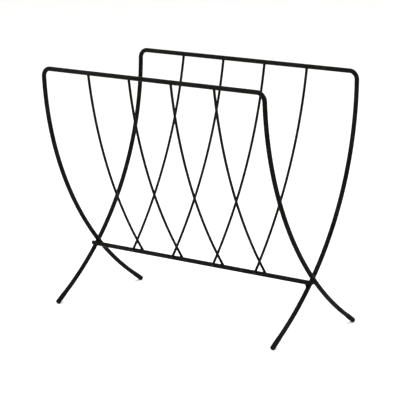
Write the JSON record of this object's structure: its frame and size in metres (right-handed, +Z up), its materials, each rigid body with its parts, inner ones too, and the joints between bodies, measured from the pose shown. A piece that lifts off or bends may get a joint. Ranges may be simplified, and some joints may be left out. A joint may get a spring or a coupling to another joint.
{
  "type": "magazine rack",
  "caption": "Open wire magazine rack: arched rod frames crossed in an X, with a bottom rail, thin upright wires and capped feet.",
  "frame": {"origin": "on the floor, at the middle of the box round the rack", "axes": "+X along the top rails, to the right as seen from the front, +Y from the front side to the back side, +Z up"},
  "size_m": [0.4146, 0.2248, 0.3582],
  "materials": {
    "powder_coated_steel": "satin",
    "black_vinyl": "matte"
  },
  "bodies": {
    "root": {"front_frame": "powder_coated_steel", "back_frame": "powder_coated_steel", "bottom_rail": "powder_coated_steel", "front_wire_1": "powder_coated_steel", "front_wire_weld_1": "powder_coated_steel", "back_wire_1": "powder_coated_steel", "back_wire_weld_1": "powder_coated_steel", "front_wire_2": "powder_coated_steel", "front_wire_weld_2": "powder_coated_steel", "back_wire_2": "powder_coated_steel", "back_wire_weld_2": "powder_coated_steel", "front_wire_3": "powder_coated_steel", "front_wire_weld_3": "powder_coated_steel", "back_wire_3": "powder_coated_steel", "back_wire_weld_3": "powder_coated_steel", "front_wire_4": "powder_coated_steel", "front_wire_weld_4": "powder_coated_steel", "back_wire_4": "powder_coated_steel", "back_wire_weld_4": "powder_coated_steel", "back_foot_cap_left": "black_vinyl", "front_foot_cap_left": "black_vinyl", "crossing_weld_left": "powder_coated_steel", "rail_end_weld_left": "powder_coated_steel", "back_foot_cap_right": "black_vinyl", "front_foot_cap_right": "black_vinyl", "crossing_weld_right": "powder_coated_steel", "rail_end_weld_right": "powder_coated_steel"}
  },
  "joints": []
}
